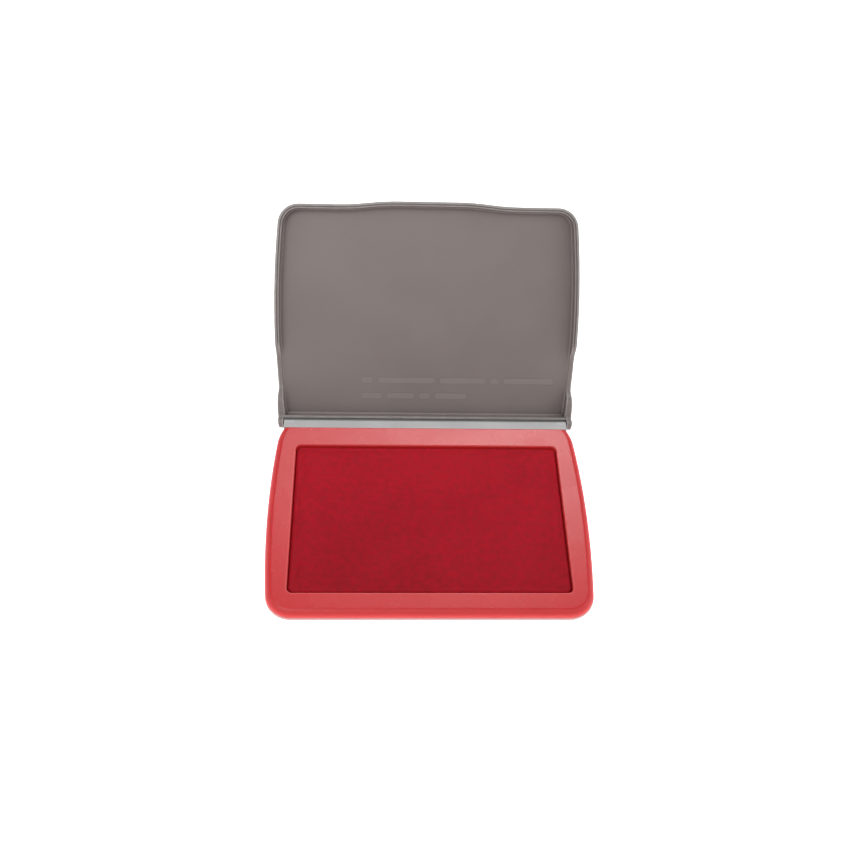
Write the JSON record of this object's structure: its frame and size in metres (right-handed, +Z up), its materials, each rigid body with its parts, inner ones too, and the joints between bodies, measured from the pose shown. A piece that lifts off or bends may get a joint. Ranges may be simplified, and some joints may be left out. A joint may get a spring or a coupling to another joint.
{
  "type": "hinged stamp pad",
  "caption": "Shallow hinged case with a bowed outline: ink-soaked cloth pad in a raised window frame, under a shallow lid that folds back past upright onto stops.",
  "frame": {"origin": "on the flat underside, below the middle of the pad window", "axes": "+X to the right seen from the front, +Y back towards the hinge, +Z up; the hinge axis is along X"},
  "size_m": [0.13, 0.1599, 0.0761],
  "materials": {
    "shell_plastic": "satin moulded",
    "frame_plastic": "satin moulded",
    "inked_cloth": "ink-soaked weave",
    "felt": "pressed felt",
    "backing_plastic": "plain",
    "lid_plastic": "satin moulded"
  },
  "bodies": {
    "base": {"base_shell": "shell_plastic", "pad_frame": "frame_plastic", "pad_cloth": "inked_cloth", "felt_core": "felt", "backing_plate": "backing_plastic"},
    "lid": {"lid_shell": "lid_plastic"}
  },
  "joints": [
    {"name": "lid_hinge", "type": "hinge", "parent": "base", "child": "lid", "pos_m": [0, 0.0483, 0.0065], "axis": [1, 0, 0], "range_deg": [0, 131.1]}
  ]
}
